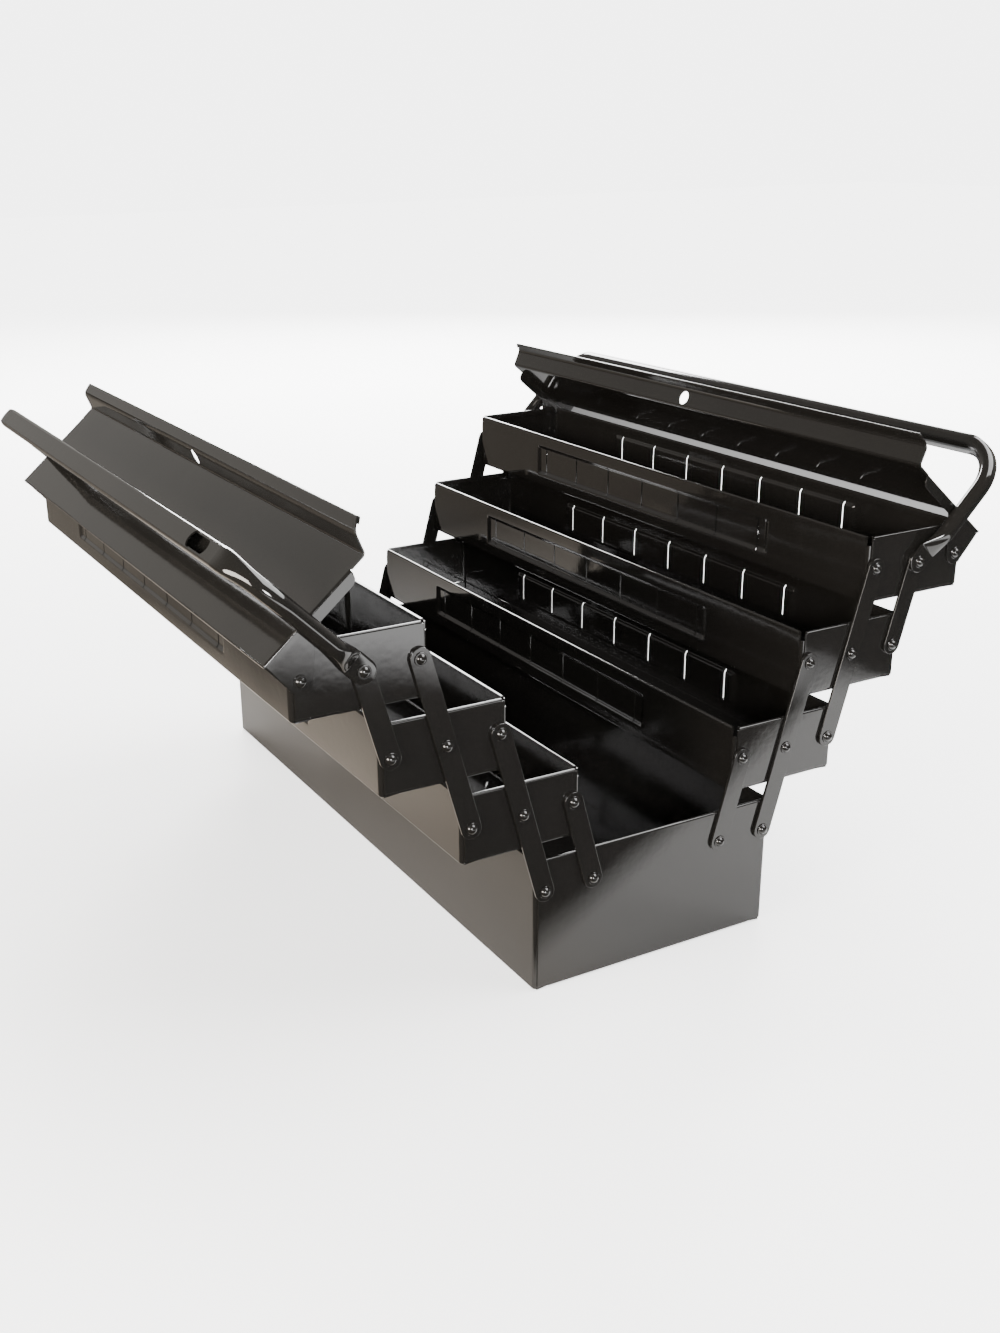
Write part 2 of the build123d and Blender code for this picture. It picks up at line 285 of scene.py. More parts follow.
# %% Enamel group
def enamel_group():
    """Masks and heights of dried enamel: dust, smears, ripple and the sheet's own waves."""
    group = bpy.data.node_groups.new("dried enamel", "ShaderNodeTree")
    group.interface.new_socket("Place", in_out="INPUT", socket_type="NodeSocketVector")
    for name in ("Dust", "Smears", "Ripple", "Waves"):
        group.interface.new_socket(name, in_out="OUTPUT", socket_type="NodeSocketFloat")
    place = add_node(group, "NodeGroupInput").outputs["Place"]
    patches = remap(group, noise(group, place, 9.0, 4.0, 0.6), 0.45, 0.8, 0, 1)
    grains = remap(group, noise(group, place, 900.0, 2.0), 0.4, 0.75, 0.3, 1)
    rubbed = {"Vector": place, "Scale": (14.0, 40.0, 55.0), "Rotation": (0.4, 0.2, 0.7)}
    rubbed = fed(group, "ShaderNodeMapping", rubbed).outputs["Vector"]
    smears = remap(group, noise(group, rubbed, 1.0, 5.0, 0.65), 0.5, 0.75, 0, 1)
    feeds = {"Dust": times(group, patches, grains), "Smears": smears}
    feeds["Ripple"] = noise(group, place, 200.0, 1.0, 0.4)
    feeds["Waves"] = noise(group, place, 11.0, 1.0, 0.3)
    fed(group, "NodeGroupOutput", feeds)
    return group


dried_enamel = enamel_group()
print("enamel group gives", [item.name for item in dried_enamel.interface.items_tree])

# %% Enamel of each piece
black = (0.0105, 0.0098, 0.0088, 1)
dust_brown = (0.055, 0.052, 0.046, 1)
ripple_height = 0.00009
wave_height = 0.0012


def enamel(name, gloss, ripple=0.25, waves=0.5, dust=0.4):
    """A black enamel; gloss is its roughness and the others are strengths."""
    material = bpy.data.materials.new(name)
    material.use_nodes = True
    tree = material.node_tree
    place = add_node(tree, "ShaderNodeTexCoord").outputs["Object"]
    masks = fed(tree, "ShaderNodeGroup", {"Place": place}, node_tree=dried_enamel).outputs
    tint = {"Factor": times(tree, masks["Dust"], 0.35 * dust), "A": black, "B": dust_brown}
    dulled = times(tree, masks["Dust"], 0.30 * dust)
    smeared = times(tree, masks["Smears"], 0.10 * dust)
    small = {"Strength": ripple, "Distance": ripple_height, "Height": masks["Ripple"]}
    large = {"Strength": waves, "Distance": wave_height, "Height": masks["Waves"]}
    large["Normal"] = fed(tree, "ShaderNodeBump", small).outputs["Normal"]
    coat = {"Coat Weight": 0.15, "Coat Roughness": 0.06, "IOR": 1.52}
    coat["Base Color"] = fed(tree, "ShaderNodeMix", tint, data_type="RGBA").outputs["Result"]
    coat["Roughness"] = calculate(tree, "ADD", dulled, smeared, gloss)
    coat["Normal"] = fed(tree, "ShaderNodeBump", large).outputs["Normal"]
    feed(tree, tree.nodes["Principled BSDF"], coat)
    return material


tub_black = enamel("tub enamel", 0.06)
plate_black = enamel("end plate enamel", 0.055, ripple=0.3, waves=1.0)
lid_black = enamel("lid enamel", 0.07, waves=0.35, dust=0.3)
tube_black = enamel("handle enamel", 0.06, ripple=0.2, waves=0.1, dust=0.3)
link_black = enamel("link enamel", 0.06, waves=0.3)
rivet_black = enamel("rivet enamel", 0.07, ripple=0.2, waves=0.0, dust=0.3)
print(len(bpy.data.materials), "materials")

# %% [markdown]
# # Tubs
# The base and the six trays are one kind of piece: a sheet folded into a channel, its rims
# turned inwards as a hem, its wall ends bent round the upright corners into tabs that the end
# plates are fixed to. The section is walked from the tip of one hem, over the rim, down the
# wall, round the bend and across the floor, and each of its points makes a row. Columns run
# along the box and then turn the corners.

# %% Section of a tub
hem_flatness = 0.65    # 1 is round; less is hammered flatter along the top


def hem_rows(height):
    """(Distance inside, height) over a rim, from the hem's tip to the outside of the wall."""
    tip = hem_thickness - half
    rows = [(tip, height - hem_depth), (tip, height - (hem_depth + hem_radius) / 2)]
    radius = hem_radius - half
    for turn in arc(180, 0, 12):
        across = copysign(abs(cos(turn)) ** hem_flatness, cos(turn))
        up = abs(sin(turn)) ** hem_flatness
        rows.append((hem_radius - radius * across, height - hem_radius + radius * up))
    return rows


def wall_section(height, levels):
    """Rows from the hem's tip to the floor: (distance inside the outer face, height, kind)."""
    rows = [(inside, z, "hem") for inside, z in hem_rows(height)]
    tab_top = height - hem_depth - hem_notch
    rows[-1] = (half, height - hem_radius, "upper")
    for level in levels:
        rows.append((half, level, "upper" if level > tab_top + 0.01 else "lower"))
    for turn in arc(0, 90, 6):
        inside = bend - (bend - half) * cos(turn)
        rows.append((inside, bend - (bend - half) * sin(turn), "bend"))
    return rows


def wall_levels(height, extra):
    """Heights of the flat wall's rows, from under the hem's arc down to the bend."""
    fixed = [height - hem_depth, height - hem_depth - hem_notch]
    even = spread(height - hem_depth - hem_notch, bend, 6)
    levels = set(round(level, 3) for level in fixed + even[:-1] + extra)
    return sorted(levels, reverse=True)


print("a rim's hem has", len(hem_rows(tub_high.z)), "rows")

# %% [markdown]
# Both long walls of a tray carry a divider panel: a shallow field pressed inwards, with seven
# upright slits that hold the dividers. The press leaves soft borders, about 3 mm wide along the
# top and bottom and 5 mm at the ends. A smooth step on the distance from the border gives that
# shape, and the slits are then faces left out, so their edges get the sheet's thickness.

# %% Divider panel
panel_length = 322.0
panel_height = 26.4
panel_top = 10.2
panel_depth = 1.8
panel_border = 2.7
panel_end_border = 5.0
softness = 0.5
slit_count = 7
slit_pitch = 49.2
slit_width = 1.7
slit_margin = 0.2
slit_places = [(k - (slit_count - 1) / 2) * slit_pitch for k in range(slit_count)]


def panel_push(x, z, height):
    """How far the wall is pressed in at a point."""
    top = height - panel_top + softness
    bottom = height - panel_top - panel_height - softness
    inside = min(top - z, z - bottom) / (panel_border + 2 * softness)
    along = (panel_length / 2 + softness - abs(x)) / (panel_end_border + 2 * softness)
    return panel_depth * ease(inside) * ease(along)


def panel_levels(height):
    top = height - panel_top
    bottom = top - panel_height
    reach = panel_border + softness
    levels = spread(top + softness, top - reach, 8) + spread(top - reach, bottom + reach, 4)
    levels += spread(bottom + reach, bottom - softness, 8)
    return levels + [top - slit_margin, bottom + slit_margin]


def panel_columns():
    outer = panel_length / 2 + softness
    inner = panel_length / 2 - panel_end_border - softness
    places = spread(inner, outer, 8)
    places += [abs(p) + s * slit_width / 2 for p in slit_places if p >= 0 for s in (-1, 1)]
    places += [p + slit_pitch * k / 4 for p in slit_places if p >= 0 for k in (1, 2, 3)]
    return [p for p in places if 0 < p <= outer]


print("slits at", [round(place, 1) for place in slit_places])

# %% Sizes of a tub's corners
tab_width = 12.0
floor_tab = 8.0
tab_relief = 0.4       # air between the wall's tab and the floor's tab
tab_lift = 0.15        # air between the wall's tab and the floor
tab_start = 0.35       # first step of a tab, a little past the corner's bend
floor_play = 0.1       # the floor stops short of a corner's bend by this
least_step = 0.3       # between two columns
floor_fold = 1.1       # bend of the floor's tab
corner_steps = 6
tab_steps = 8
fold_steps = 5
print("tabs reach", tab_width, "mm and", floor_tab, "mm")


# %% Surface of a tub
def tub_surface(width, height, pressed):
    """Middle surface of a tub about the middle of its underside."""
    levels = wall_levels(height, panel_levels(height) if pressed else [])
    wall = wall_section(height, levels)
    half_width = width / 2
    tab_reach = half_width - tab_width - tab_relief
    middle = spread(tab_reach, -tab_reach, 10)
    floor = [half_width - corner_round] + middle + [corner_round - half_width]
    rows = [("wall", 1, row) for row in wall]
    rows += [("floor", 0, y) for y in floor]
    rows += [("wall", -1, row) for row in reversed(wall)]
    main_end = tub_end - corner_round
    hem_end = tub_end - hem_thickness - hem_notch
    half_run = set(panel_columns() if pressed else []) | set(spread(40, main_end, 11)) | {hem_end}
    half_run = sorted(half_run)
    if pressed:
        half_run = [x for k, x in enumerate(half_run) if k == 0 or x - half_run[k - 1] > least_step]
    run = [-x for x in reversed(half_run)] + [0.0] + half_run
    extra = corner_steps + tab_steps
    columns = len(run) + 2 * extra
    top_slit = height - panel_top - slit_margin + 0.01
    low_slit = height - panel_top - panel_height + slit_margin - 0.01

    def column(j):
        """(end, x on the straight run, steps round the corner, steps along the tab)."""
        end, beyond = past_end(j, extra, len(run))
        if end == 0:
            return 0, run[j - extra], 0, 0
        return end, end * main_end, min(beyond, corner_steps), max(beyond - corner_steps, 0)

    def place(i, j):
        kind, side, row = rows[i]
        end, x, turn, step = column(j)
        angle = radians(90 * turn / corner_steps)
        if kind == "wall":
            inside, z, part = row
            if end == 0:
                push = panel_push(x, z, height) if pressed and part in ("upper", "lower") else 0
                return x, side * (half_width - inside - push), z
            if step and part == "bend":
                z = sheet + tab_lift
            radius = corner_round - inside
            y = half_width - corner_round + radius * cos(angle)
            y -= tab_start if step == 1 else step * (tab_width - corner_round) / tab_steps
            return end * (main_end + radius * sin(angle)), side * y, z
        if end == 0:
            return x, row, half
        if abs(row) > tab_reach + 0.01:
            return end * (main_end + (corner_round - floor_play) * sin(angle)), row, half
        start = tub_end - half - floor_fold
        if step == 0:
            return end * (main_end + (start - main_end) * turn / corner_steps), row, half
        if step <= fold_steps:
            lift = radians(90 * step / fold_steps)
            rise = floor_fold * (1 - cos(lift))
            return end * (start + floor_fold * sin(lift)), row, half + rise
        rise = (floor_tab - floor_fold) * (step - fold_steps) / (tab_steps - fold_steps)
        return end * (tub_end - half), row, half + floor_fold + rise

    def kept(i, j):
        low, high = rows[i], rows[i + 1]
        first, second = column(j), column(j + 1)
        outermost = max(abs(first[1]), abs(second[1]))
        turned = max(first[2], second[2])
        stepped = max(first[3], second[3])
        if low[0] == "wall" and high[0] == "wall":
            kinds = {low[2][2], high[2][2]}
            if "hem" in kinds:
                return turned == 0 and outermost <= hem_end + 0.01
            if stepped:
                return "lower" in kinds and "upper" not in kinds
            if turned:
                return "upper" not in kinds
            upper, lower = max(low[2][1], high[2][1]), min(low[2][1], high[2][1])
            if pressed and upper <= top_slit and lower >= low_slit:
                middle_x = (first[1] + second[1]) / 2
                return all(abs(middle_x - p) > slit_width / 2 - 0.05 for p in slit_places)
            return True
        on_floor = low[0] == high[0] == "floor"
        return not stepped or on_floor and max(abs(low[2]), abs(high[2])) <= tab_reach + 0.01

    return grid_faces(len(rows), columns, place, kept)


# %% Base and trays
def moved(points, y, z):
    return [(p[0], p[1] + y, p[2] + z) for p in points]


points, faces = tub_surface(tub_high.y - tub_low.y, tub_high.z - tub_low.z, False)
base_tub = make_mesh("base_folded", points, faces)
thicken(base_tub)
finish_edges(base_tub)
dress(base_tub, "base", ["base_tub"], tub_black)

low, high = box_mm("right_tray_1_tub")
tray_width, tray_height = high.y - low.y, high.z - low.z
tray_points, tray_faces = tub_surface(tray_width, tray_height, True)
print("tray surface", len(tray_faces), "faces, base surface", len(faces))


def tray_place(tray):
    """Y of a right tray's middle and Z of its underside."""
    low, high = box_mm(f"right_tray_{tray}_tub")
    return (low.y + high.y) / 2, low.z


for side, tray, body in trays:
    shape = make_mesh(f"{body}_folded", moved(tray_points, *tray_place(tray)), tray_faces, side)
    thicken(shape)
    finish_edges(shape, 0.12)
    dress(shape, body, [f"{body}_tub"], tub_black)

# %% [markdown]
# # End plates
# Each tub is closed by two flat plates, fixed against the outside of its tabs, with the same
# hem along the top. The plates stop a little short of the corners, so that the round bend of
# the wall shows as a dark strip beside them. A plate is the tub's rim section carried across.

# %% End plates
def plate_surface(width, height, inset):
    """Middle surface of a near end plate about the middle of the tub's underside."""
    rows = [(inside, z, True) for inside, z in hem_rows(height)]
    for level in spread(height - hem_radius, inset, 10)[1:]:
        rows.append((half, level, False))
    reach = width / 2 - inset
    hem_reach = width / 2 - hem_thickness - hem_notch
    columns = [-reach] + spread(-hem_reach, hem_reach, 12) + [reach]

    def place(i, j):
        return plate_end - rows[i][0], -columns[j], rows[i][1]

    def kept(i, j):
        return not rows[i + 1][2] or 0 < j < len(columns) - 2

    return grid_faces(len(rows), len(columns), place, kept)


def end_plates(tub):
    """Both end plates of a tub, riding on its body of the same name."""
    tub_box = box_mm(f"{tub}_tub")
    plate_box = box_mm(f"{tub}_near_end")
    inset = plate_box[0].z - tub_box[0].z
    width, height = tub_box[1].y - tub_box[0].y, tub_box[1].z - tub_box[0].z
    points, faces = plate_surface(width, height, inset)
    points = moved(points, (tub_box[0].y + tub_box[1].y) / 2, tub_box[0].z)
    for end, end_name in ((1, "near"), (-1, "far")):
        turned = [(end * x, y, z) for x, y, z in points]
        wound = faces if end > 0 else [tuple(reversed(face)) for face in faces]
        plate = make_mesh(f"{tub}_{end_name}_plate", turned, wound)
        thicken(plate)
        finish_edges(plate)
        dress(plate, tub, [f"{tub}_{end_name}_end"], plate_black)


for tub in ["base"] + [body for side, tray, body in trays]:
    end_plates(tub)
print("end plates on the base and", len(trays), "trays")

# %% [markdown]
# # Lids
# A lid is one sheet: a flat panel with a small lip along its outer edge, and along its inner
# edge a steep ridge whose tip is folded back on itself. At both ends the panel turns down into
# a skirt that runs out into a hinge ear. The section is walked as before, in the closed lid's
# own frame about its hinge, and the whole lid is then turned to its open angle. Rows over the
# skirt turn down round the end, and the others run straight out to the ridge's rounded corners.

# %% Lid sizes
lid_open = 40.5
lid_height = 24.0
lid_outer = 8.5
lip_drop = 0.9
lip_fold = 1.0
ridge_rise = 72.0
ridge_wall = 14.2
ridge_slope = 23.0
ridge_top = 9.4
ridge_hem = 4.5
ridge_corner = 8.0
fold_round = 2.5
crest_round = 7.0
tip_gap = 1.0
skirt_depth = 8.0
skirt_end = 11.5
skirt_round = 6.0
skirt_fold = 1.1
drop_steps = 6
ear_radius = 8.0
padlock_radius = 5.5
lid_end = plate_end + side_gap + sheet
closed_hinge = joint_at["right_open"][0]
tip_reach = closed_hinge - tip_gap
crest_reach = tip_reach - ridge_top * cos(radians(ridge_slope))
fold_reach = crest_reach - ridge_wall * cos(radians(ridge_rise))
crest_height = lid_height + ridge_wall * sin(radians(ridge_rise))
tip_height = crest_height + ridge_top * sin(radians(ridge_slope))
skirt_reach = fold_reach - skirt_end
print("lid reaches", round(tip_reach, 1), "from its hinge")


# %% Lid section
def heading(rise):
    """Direction of the sheet towards the ridge, and the side that is underneath."""
    angle = radians(rise)
    return (-cos(angle), sin(angle)), (-sin(angle), -cos(angle))


def lid_section():
    """Middle of the sheet from the lip's edge to the end of the tip's hem."""
    top = lid_height - half
    lip = lid_outer - half
    rows = [(lip, lid_height - sheet - lip_drop), (lip, top - lip_fold)]
    for turn in arc(15, 90, 5):
        out, up = lip_fold * cos(turn), lip_fold * sin(turn)
        rows.append((lip - lip_fold + out, top - lip_fold + up))
    ear_places = [ear_radius * sin(turn) for turn in arc(76, -45, 14)]
    low_point = lid_height - skirt_depth + ear_radius * sqrt(2)
    round_start = skirt_round - skirt_reach
    panel = ear_places + spread(-8, -low_point, 6) + spread(-low_point - 2, round_start, 5)
    panel += spread(round_start, -skirt_reach, 5)[1:] + [-skirt_reach - 0.6, -skirt_reach - 4]
    rows += [(y, top) for y in panel]
    tangent = fold_round * tan(radians(ridge_rise / 2))
    for turn in arc(0, ridge_rise, 8):
        y = -fold_reach + tangent - (fold_round + half) * sin(turn)
        rows.append((y, lid_height + fold_round - (fold_round + half) * cos(turn)))
    along, under = heading(ridge_rise)
    tangent = crest_round * tan(radians((ridge_rise - ridge_slope) / 2))
    start_y = -crest_reach - tangent * along[0]
    start_z = crest_height - tangent * along[1]
    middle_y = start_y + crest_round * under[0]
    middle_z = start_z + crest_round * under[1]
    for turn in arc(ridge_rise, ridge_slope, 8):
        radius = crest_round - half
        rows.append((middle_y + radius * sin(turn), middle_z + radius * cos(turn)))
    along, under = heading(ridge_slope)
    fold_y = -tip_reach - sheet * along[0] + sheet * under[0]
    fold_z = tip_height - sheet * along[1] + sheet * under[1]
    for turn in arc(0, 180, 8):
        out, down = half * sin(turn), -half * cos(turn)
        rows.append((fold_y + out * along[0] + down * under[0], fold_z + out * along[1] + down * under[1]))
    last_y, last_z = rows[-1]
    back = ridge_hem - sheet
    rows.append((last_y - back * along[0], last_z - back * along[1]))
    return rows


print("lid section has", len(lid_section()), "rows")

# %% Skirt and ear
def skirt_bottom(y):
    """Height of the lower edge of the skirt and ear at a place across the lid."""
    low = lid_height - skirt_depth
    nose = ear_radius / sqrt(2)
    if y > -nose:
        return -sqrt(ear_radius**2 - min(y, ear_radius) ** 2)
    if y > -low - 2 * nose:
        return -nose + (-nose - y)
    past = max(skirt_round - (y + skirt_reach), 0)
    return low + skirt_round - sqrt(skirt_round**2 - min(past, skirt_round) ** 2)


def lid_surface():
    """Middle surface of a closed right lid about its hinge."""
    rows = lid_section()
    top = lid_height - half
    on_skirt = [abs(z - top) < 0.001 and -skirt_reach - 0.001 <= y <= lid_outer for y, z in rows]
    turn_start = lid_end - half - skirt_fold
    run = spread(-turn_start, turn_start, 28)
    extra = fold_steps + drop_steps
    columns = len(run) + 2 * extra
    round_from = tip_height - ridge_corner

    def place(i, j):
        y, z = rows[i]
        end, step = past_end(j, extra, len(run))
        above = max(z - round_from, 0)
        short = ridge_corner - sqrt(max(ridge_corner**2 - above**2, 0.0))
        if end == 0:
            return run[j - extra] * (turn_start - short) / turn_start, y, z
        if not on_skirt[i]:
            share = min(step, fold_steps) / fold_steps
            return end * (turn_start - short + share * (lid_end - turn_start)), y, z
        if step <= fold_steps:
            turn = radians(90 * step / fold_steps)
            drop = skirt_fold * (1 - cos(turn))
            return end * (turn_start + skirt_fold * sin(turn)), y, z - drop
        bottom = skirt_bottom(y)
        level = z - skirt_fold
        level += (bottom - level) * (step - fold_steps) / drop_steps
        return end * (lid_end - half), y, level

    def kept(i, j):
        step = max(past_end(k, extra, len(run))[1] for k in (j, j + 1))
        if step == 0 or on_skirt[i] and on_skirt[i + 1]:
            return True
        return step <= fold_steps and not (on_skirt[i] or on_skirt[i + 1])

    return grid_faces(len(rows), columns, place, kept)


print("ear reaches down", round(-skirt_bottom(0), 1), "mm from the hinge")

# %% Padlock hole
def padlock_drill():
    """A round cutter through the middle of the ridge's wall."""
    along, under = heading(ridge_rise)
    middle_y = -(fold_reach + crest_reach) / 2
    middle_z = (lid_height + crest_height) / 2
    points = []
    for depth in (-4, 4):
        for turn in full_turn(round_points):
            x, up = padlock_radius * cos(turn), padlock_radius * sin(turn)
            y = middle_y + up * along[0] + depth * under[0]
            points.append((x, y, middle_z + up * along[1] + depth * under[1]))
    return points, ring_faces(2, round_points)


def turned(points, degrees, at):
    """Points turned about the X axis and moved so that the origin lands at a place (y, z)."""
    angle = radians(degrees)
    along, across = cos(angle), sin(angle)
    return [(x, at[0] + y * along - z * across, at[1] + y * across + z * along) for x, y, z in points]


def cut_away(obj, cutter):
    """Cuts one mesh out of another and removes the cutter."""
    cut = obj.modifiers.new("cut", "BOOLEAN")
    cut.operation = "DIFFERENCE"
    cut.solver = "EXACT"
    cut.object = cutter
    bake(obj)
    bpy.data.objects.remove(cutter)


print("padlock hole", 2 * padlock_radius, "mm wide")

# %% Lids
lid_points, lid_faces = lid_surface()
drill_points, drill_faces = padlock_drill()
lid_points, drill_points = (
    turned(points, -lid_open, joint_at["right_lid_turn"]) for points in (lid_points, drill_points)
)
for side, side_name in sides:
    shape = make_mesh(f"{side_name}_lid_folded", lid_points, lid_faces, side)
    thicken(shape, quality=False)
    cut_away(shape, make_mesh("drill", drill_points, drill_faces, side))
    finish_edges(shape, 0.14, clamp=False)
    dress(shape, f"{side_name}_lid", [f"{side_name}_lid"], lid_black)
print("lid surface", len(lid_faces), "faces")

# %% [markdown]
# # Handles
# Each handle is one steel tube, bent twice. Its ends are pressed flat into eyes, and the bar
# between the bends is pressed flat on the side that meets the palm. Since every section is the
# same tube pressed differently, the handle is a loft of rings with the same number of points:
# the rings of a flat eye, of a round tube and of the D-shaped bar are mixed where one becomes
# the other.

# %% Handle sizes
handle_open = 45.0
tube_radius = 5.9
bar_height = 97.0
handle_bend = 32.5
eye_thickness = 2.2
eye_half_width = 8.0
eye_flat = 9.0
neck_end = 28.0
neck_steps = 16
grip_flat = 12.0
grip_thickness = 9.5
grip_edge = 0.5
grip_blend = 5.0
grip_lead = 0.5
grip_from = 38.0
link_thickness = 2.0
link_face = plate_end + side_gap
link_seat = plate_end + 2 * side_gap + link_thickness
eye_middle = link_seat + eye_thickness / 2
arm_x = link_seat + tube_radius
grip_end = arm_x - handle_bend - grip_lead
grip_half = grip_end - grip_blend
grip_slot_inset = 23.0
grip_slot_at = grip_half - grip_slot_inset
grip_slot_length = 29.0
grip_slot_width = 11.0
tube_wall = 1.0
hollow_length = 2.2    # length and width of the hollow under a slot, against the slot's
hollow_width = 0.86
print("handle arms at", round(arm_x, 2), "from the middle")

# %% Sections of the tube
def round_ring():
    turns = full_turn(round_points)
    return [(tube_radius * sin(turn), tube_radius * cos(turn)) for turn in turns]


def eye_ring():
    """The tube pressed to a flat bar with rounded edges."""
    ring = []
    for turn in full_turn(round_points):
        rise = cos(turn)
        outward = copysign(abs(rise) ** 0.4, rise) * eye_thickness / 2
        ring.append((eye_half_width * sin(turn), outward))
    return ring


def grip_ring():
    """A flat on the outer side, with full sides that meet in a round underside."""
    flat_steps = round_points // 8 + 1
    low = tube_radius - grip_thickness
    rise = (tube_radius + low) / 2
    reach = grip_flat / 2
    edge = grip_edge
    flat = [((reach - edge) * k / flat_steps, tube_radius) for k in range(flat_steps)]
    shift = (reach**2 - (tube_radius - rise) ** 2) / (2 * reach)
    radius = hypot(reach - shift, tube_radius - rise)
    first = atan2(tube_radius - rise, reach - shift) - edge / radius
    last = -acos(max(min(-shift / radius, 1.0), -1.0))
    side = [(reach - edge, tube_radius), (reach - 0.3 * edge, tube_radius - 0.15 * edge)]
    steps = round_points // 2 - flat_steps - 2
    for k in range(steps + 1):
        turn = first + (last - first) * k / steps
        side.append((shift + radius * cos(turn), rise + radius * sin(turn)))
    right = flat + side
    left = [(-u, v) for u, v in reversed(right[1:-1])]
    return right + left


def mixed(first, second, share):
    pairs = zip(first, second)
    return [(a[0] + (b[0] - a[0]) * share, a[1] + (b[1] - a[1]) * share) for a, b in pairs]


print("sections of", len(grip_ring()), "points each")

# %% Loft
def handle_rings():
    """Rings of the near half, from the eye's tip to the middle of the bar."""
    tube, eye, grip = round_ring(), eye_ring(), grip_ring()
    rings = []
    for turn in arc(5, 90, neck_steps):
        narrow = sin(turn)
        tip = [(u * narrow, v) for u, v in eye]
        rings.append((eye_middle, -eye_half_width * cos(turn), 0, tip))
    rings.append((eye_middle, eye_flat, 0, eye))
    for height in spread(eye_flat, neck_end, neck_steps)[1:]:
        share = sin(pi / 2 * (height - eye_flat) / (neck_end - eye_flat))
        x = eye_middle + (arm_x - eye_middle) * share
        rings.append((x, height, 0, mixed(eye, tube, share)))
    bend_start = bar_height - handle_bend
    rings += [(arm_x, height, 0, tube) for height in spread(neck_end, bend_start, 5)[1:]]
    for turn in arc(5, 90, 17):
        x = arm_x - handle_bend + handle_bend * cos(turn)
        pressed = ease((degrees(turn) - grip_from) / (90 - grip_from))
        section = mixed(tube, grip, pressed)
        rings.append((x, bend_start + handle_bend * sin(turn), degrees(turn), section))
    rings += [(x, bar_height, 90, grip) for x in spread(grip_end, grip_half, 2)]
    rings += [(x, bar_height, 90, grip) for x in spread(grip_half, 0, 16)[1:]]
    return rings


def handle_surface():
    """The whole handle about its pivots, standing up along Z."""
    near = handle_rings()
    rings = near + [(-x, z, 180 - turn, ring) for x, z, turn, ring in reversed(near[:-1])]
    points = []
    for x, z, degrees, ring in rings:
        angle = radians(degrees)
        for u, v in ring:
            points.append((x + v * cos(angle), u, z + v * sin(angle)))
    return points, [tuple(reversed(face)) for face in ring_faces(len(rings), round_points)]


print("half a handle has", len(handle_rings()), "rings")

# %% Slot in the bar
def slot_cutter():
    """A long round-ended cutter through the outer side of the bar, and the hollow under it."""
    outline = []
    straight = (grip_slot_length - grip_slot_width) / 2
    for turn in full_turn(round_points, 0.5):
        shift = straight if cos(turn) > 0 else -straight
        x = grip_slot_at + shift + grip_slot_width / 2 * cos(turn)
        outline.append((x, grip_slot_width / 2 * sin(turn)))
    top = bar_height + tube_radius
    stretch = hollow_length - 1
    hollow = [(x + (x - grip_slot_at) * stretch, y * hollow_width) for x, y in outline]
    layers = [(hollow, top - grip_thickness + 2 * tube_wall), (hollow, top - tube_wall)]
    layers += [(outline, top - tube_wall), (outline, top + 4)]
    points = [(x, y, z) for layer, z in layers for x, y in layer]
    return points, ring_faces(len(layers), round_points)


print("slots", grip_slot_length, "by", grip_slot_width, "mm")

# %% Handles
handle_points, handle_faces = handle_surface()
cutter_points, cutter_faces = slot_cutter()
handle_points, cutter_points = (
    turned(points, handle_open - 90, joint_at["right_handle_turn"])
    for points in (handle_points, cutter_points)
)
for side, side_name in sides:
    shape = make_mesh(f"{side_name}_handle_tube", handle_points, handle_faces, side)
    cut_away(shape, make_mesh("cutter", cutter_points, cutter_faces, side))
    finish_edges(shape, 0.2, 62)
    dress(shape, f"{side_name}_handle", [f"{side_name}_handle"], tube_black)
print("handle", len(handle_faces), "faces")

# %% [markdown]
# # Links
# Flat steel links with round ends carry the trays: on each side a short and a long one from the
# base, and a long and a short one from tray to tray, at both ends of the box. They all follow
# one rule, a rounded bar of a given reach that leans at a given angle from its lowest rivet.
# That rule suits a node tree: it draws the outline, fills it, gives it thickness, sets it on
# edge and copies it to the far end. Its sizes are read from the two CAD links it stands for.

# %% Helpers for node trees
def tree_with(name, inputs):
    """A geometry tree with named inputs, and its input and output nodes."""
    tree = bpy.data.node_groups.new(name, "GeometryNodeTree")
    for label, kind in inputs.items():
        tree.interface.new_socket(label, in_out="INPUT", socket_type=f"NodeSocket{kind}")
    tree.interface.new_socket("Geometry", in_out="OUTPUT", socket_type="NodeSocketGeometry")
    return tree, add_node(tree, "NodeGroupInput").outputs, add_node(tree, "NodeGroupOutput")


def shaped(tree, kind, feeds, **values):
    """What a geometry node gives, once it is fed."""
    return fed(tree, f"GeometryNode{kind}", feeds, **values).outputs[0]


def vector(tree, x=0.0, y=0.0, z=0.0):
    return fed(tree, "ShaderNodeCombineXYZ", {"X": x, "Y": y, "Z": z}).outputs[0]


def rotation(tree, x=0.0, y=0.0, z=0.0):
    euler = vector(tree, x, y, z)
    return fed(tree, "FunctionNodeEulerToRotation", {"Euler": euler}).outputs[0]


def close_tree(tree, shape, material, end):
    """Realised instances and a material, which is how every tree here ends."""
    real = shaped(tree, "RealizeInstances", {"Geometry": shape})
    coated = shaped(tree, "SetMaterial", {"Geometry": real, "Material": material})
    tree.links.new(coated, end.inputs[0])


